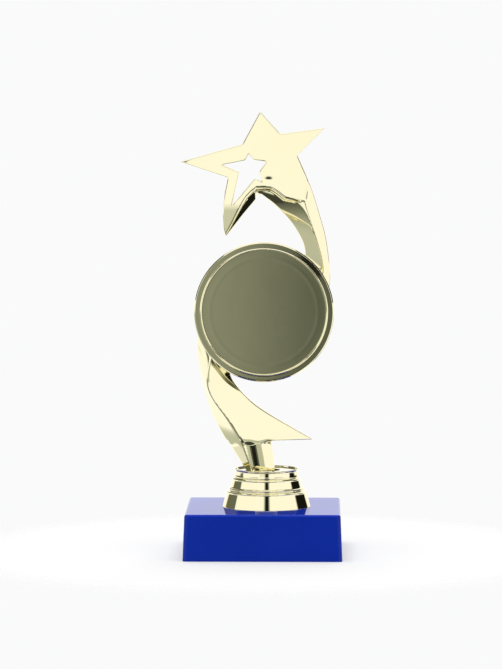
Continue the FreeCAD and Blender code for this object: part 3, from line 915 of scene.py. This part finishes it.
def figure_mesh(material):
    """The whole moulding as one closed mesh, front, back and walls."""
    loops = [evened(loop) for loop in silhouette_loops()]
    from_rim = rim_finder(loops)
    flat, faces = flat_net(loops, from_rim)
    layers = [
        np.stack([flat[:, 0], depth, flat[:, 1]], axis=1)
        for depth in front_and_back(flat, faces, from_rim)
    ]
    spots = (np.vstack(layers) + (COLUMN_X, 0, DECK_TOP)) * MM
    total = len(flat)
    behind = [tuple(corner + total for corner in face[::-1]) for face in faces]
    sides = sides_of(faces)
    walls = [(b, a, a + total, b + total) for a, b in sorted(sides) if (b, a) not in sides]
    mesh = bpy.data.meshes.new("figure")
    mesh.from_pydata(spots.tolist(), [], faces + behind + walls)
    mesh.materials.append(material)
    close_and_face_out(mesh)
    return mesh


show_piece("gold_figure", figure_mesh(FIGURE_GOLD), "gold_metallised", "figure_front")


# ---------------------------------------------------------------------------------------
# Back covers
# Two thin mouldings of the same gold plastic, cut to the figure's outline. They are
# pressed into its open back, one behind the star and one behind the ribbon and hub.

for cover in ("star_back_cover", "ribbon_back_cover"):
    put_finish(cover, FIGURE_GOLD)


# ---------------------------------------------------------------------------------------
# Emblem holder
# A round dish of the same gold plastic with a raised lip, ready to take a round emblem.
# It is screwed to the hub from behind, and its floor is polished nearly flat.

holder_low, holder_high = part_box("medallion_holder")
HOLDER_CENTRE = (holder_low + holder_high) / 2
HOLDER_FRONT = holder_low.y / MM
HOLDER_BACK = holder_high.y / MM
HOLDER_RADIUS = (holder_high.x - holder_low.x) / 2 / MM
HOLDER_WALL = 2.4
RIM_WIDTH = 3.1
RECESS_RADIUS = HOLDER_RADIUS - RIM_WIDTH
FLOOR_DEPTH = 1.8
FLOOR_THICKNESS = 1.8
FLOOR_EDGE = 25.0
FLOOR_CROWN = 0.25
# A faint raised ring on the floor: its height, and its place and width as shares.
RING_HEIGHT = 0.012
RING_PLACE = 0.89
RING_WIDTH = 0.03
HOLDER_SPACING = 0.45
FLOOR_POINTS = 48


def holder_corners():
    """The dish from the middle of its floor over lip, flat and bevel to its hollow back."""
    front = HOLDER_FRONT
    floor = front + FLOOR_DEPTH
    crown = []
    for share in np.linspace(0, 1, FLOOR_POINTS):
        ring = RING_HEIGHT * math.exp(-(((share - RING_PLACE) / RING_WIDTH) ** 2))
        crown.append((FLOOR_EDGE * share, floor - FLOOR_CROWN * (1 - share**2) - ring, 0))
    inside = HOLDER_RADIUS - HOLDER_WALL
    floor_back = floor + FLOOR_THICKNESS
    rim = [
        (RECESS_RADIUS, floor, 0.15), (RECESS_RADIUS, front + 0.25, 0.12),
        (RECESS_RADIUS + 0.26, front, 0.2), (RECESS_RADIUS + 0.56, front + 0.36, 0.12),
        (HOLDER_RADIUS - 0.5, front + 0.44, 0.1), (HOLDER_RADIUS, front + 1.04, 0.25),
        (HOLDER_RADIUS, HOLDER_BACK, 0.3), (inside, HOLDER_BACK, 0.3),
        (inside, floor_back, 0.4), (HUB_RADIUS, floor_back, 0.3),
        (HUB_RADIUS, HOLDER_BACK, 0.2), (0, HOLDER_BACK, 0),
    ]
    return crown + rim


HOLDER_GOLD = gold_lacquer("gold_lacquer_holder", 0.022 * MM, 0.0005 * MM)
dish = turned_mesh("holder", holder_corners(), HOLDER_SPACING, HOLDER_GOLD)
upright = Matrix.Rotation(-math.pi / 2, 4, "X")
dish.transform(Matrix.Translation((HOLDER_CENTRE.x, 0, HOLDER_CENTRE.z)) @ upright)
close_and_face_out(dish)
show_piece("gold_emblem_holder", dish, "gold_metallised", "medallion_holder")


# ---------------------------------------------------------------------------------------
# Studio
# A plain pale table top in a white light tent. The tent has a slot at the front, gaps
# between its panels and darker panels low down; the mirror gold shows them as bands.

TABLE_RADIUS = 0.14
TABLE_FADE_FROM = 0.72  # of its radius
TABLE_GLOW = 0.3
SHEET_RADIUS = 0.6


def table_top():
    """A pale disc whose rim fades into the white around it."""
    mesh = bpy.data.meshes.new("table_top")
    work = bmesh.new()
    bmesh.ops.create_circle(work, cap_ends=True, radius=SHEET_RADIUS, segments=96)
    work.to_mesh(mesh)
    work.free()
    material = bpy.data.materials.new("pale_table_top")
    finish = Finish(material)
    place = place_on_piece(finish)
    reach = finish.node("ShaderNodeVectorMath", {"operation": "LENGTH"}, {0: place}, output=1)
    shown = 1 - finish.ramp(reach, TABLE_RADIUS * TABLE_FADE_FROM, TABLE_RADIUS)
    clear = finish.node("ShaderNodeBsdfTransparent")
    paint = finish.node("ShaderNodeBsdfDiffuse", None, {"Color": (0.585, 0.585, 0.59, 1)})
    glow = finish.node("ShaderNodeEmission", None, {"Color": (1, 1, 1, 1), "Strength": 1.0})
    lit = finish.node("ShaderNodeMixShader", None, {0: TABLE_GLOW, 1: paint, 2: glow})
    shader = finish.node("ShaderNodeMixShader", None, {0: shown, 1: clear, 2: lit})
    finish.node("ShaderNodeOutputMaterial", None, {"Surface": shader})
    mesh.materials.append(material)
    floor = bpy.data.objects.new("table_top", mesh)
    bpy.context.scene.collection.objects.link(floor)
    floor.visible_glossy = False


TENT_STRENGTH = 1.07
BACKDROP = (0.956, 0.956, 0.960, 1)


def light_tent():
    """White light from every side, with the tent's openings as darker patches."""
    world = bpy.data.worlds.new("light_tent")
    bpy.context.scene.world = world
    finish = Finish(world)
    way = finish.node("ShaderNodeTexCoord", output=0)
    x, y, z = finish.parts(way)
    degree = 180 / math.pi
    azimuth = x.maths("ARCTAN2", x, y * -1.0) * degree
    elevation = z.maths("ARCSINE", z) * degree

    def patch(left, right, bottom, top, beside, above, level):
        """The tent's light, dimmed to level in a window with soft sides."""
        from_left = finish.ramp(azimuth, left - beside, left)
        to_right = 1 - finish.ramp(azimuth, right, right + beside)
        from_bottom = finish.ramp(elevation, bottom - above, bottom)
        to_top = 1 - finish.ramp(elevation, top, top + above)
        return 1 - from_left * to_right * (from_bottom * to_top) * (1 - level)

    room = 0.26 - finish.ramp(azimuth, -5.0, 3.5) * 0.15
    flank = 0.06 + (1 - finish.ramp(azimuth, -104, -36)) * 0.46
    under = 0.05 + (1 - finish.ramp(elevation, -75, -44)) * 0.30
    # Degrees round from the front and up from level, softness of the sides, and light left.
    windows = {
        "front slot, upper part": (-1, 5, 8, 31.5, 8.0, 1.0, 0.008),
        "front slot, lower part": (-5, 9, -15, -9.9, 0.6, 0.4, 0.01),
        "grey panel beside the slot": (12, 34, -16, -5, 4.0, 3.0, 0.5),
        "hole for the lens": (2.2, 6.5, -0.6, 4.0, 0.8, 0.8, 0.015),
        "dim room beyond the slot": (-9, 12, -15, 8, 1.5, 1.5, room),
        "soft shade left of the slot": (-22, -9, -6, 2, 4.0, 22.0, 0.6),
        "gap at the right": (96, 136, 5, 60, 6.0, 2.0, 0.008),
        "gap low at the right": (110, 130, -44, -8, 3.0, 3.0, 0.01),
        "grey panel at the left": (-156, -95, 7, 50, 4.0, 2.0, 0.14),
        "shade low at the left": (-112, -30, -40, -6, 4.0, 5.0, flank),
        "shade under the front": (-46, 28, -90, -24, 18.0, 8.0, under),
        "rail over the front": (-34, 34, 39.4, 42.5, 2.0, 1.2, 0.03),
        "shade straight below": (-180, 180, -90, -68, 1.0, 10.0, 0.42),
        "rail at the left": (-100, -34, 30, 43, 3.0, 2.0, 0.03),
        "rail at the right": (34, 100, 30, 43, 3.0, 2.0, 0.03),
    }
    light = 1.0
    for window in windows.values():
        dimmed = patch(*window)
        light = dimmed.maths("MINIMUM", dimmed, light)
    golden = (1.0, 0.92, 0.50, 1)
    greenish = (0.90, 1.0, 0.80, 1)
    dim = finish.blend(finish.ramp(azimuth, -124, -110), golden, greenish)
    shade = finish.blend(light, dim, (1, 1, 1, 1))
    strength = light * TENT_STRENGTH
    tent = finish.node("ShaderNodeBackground", None, {"Color": shade, "Strength": strength})
    plain = finish.node("ShaderNodeBackground", None, {"Color": BACKDROP, "Strength": 1.0})
    # Seen directly, the tent is plain; its light and its reflections have the windows.
    seen = finish.node("ShaderNodeLightPath", output=0)
    mixed = finish.node("ShaderNodeMixShader", None, {0: seen, 1: tent, 2: plain})
    finish.node("ShaderNodeOutputWorld", None, {"Surface": mixed})


def overhead_light():
    """A large soft light over the tent's roof."""
    panel = bpy.data.lights.new("overhead_panel", "AREA")
    panel.shape = "SQUARE"
    panel.size = 0.7
    panel.energy = 11.0
    lamp = bpy.data.objects.new("overhead_panel", panel)
    lamp.location = (0, 0.1, 0.95)
    lamp.visible_glossy = False
    bpy.context.scene.collection.objects.link(lamp)


table_top()
light_tent()
overhead_light()
bpy.context.scene.view_settings.view_transform = "Standard"

TILT_DOWN = 0.0699
TURN_LEFT = 0.019
lens = bpy.data.cameras.new("camera")
lens.lens = 196.1
lens.sensor_width = 36
camera = bpy.data.objects.new("camera", lens)
camera.location = (0.0233, -1.5, 0.1952)
camera.rotation_euler = (math.pi / 2 - TILT_DOWN, 0, TURN_LEFT)
bpy.context.scene.collection.objects.link(camera)
bpy.context.scene.camera = camera
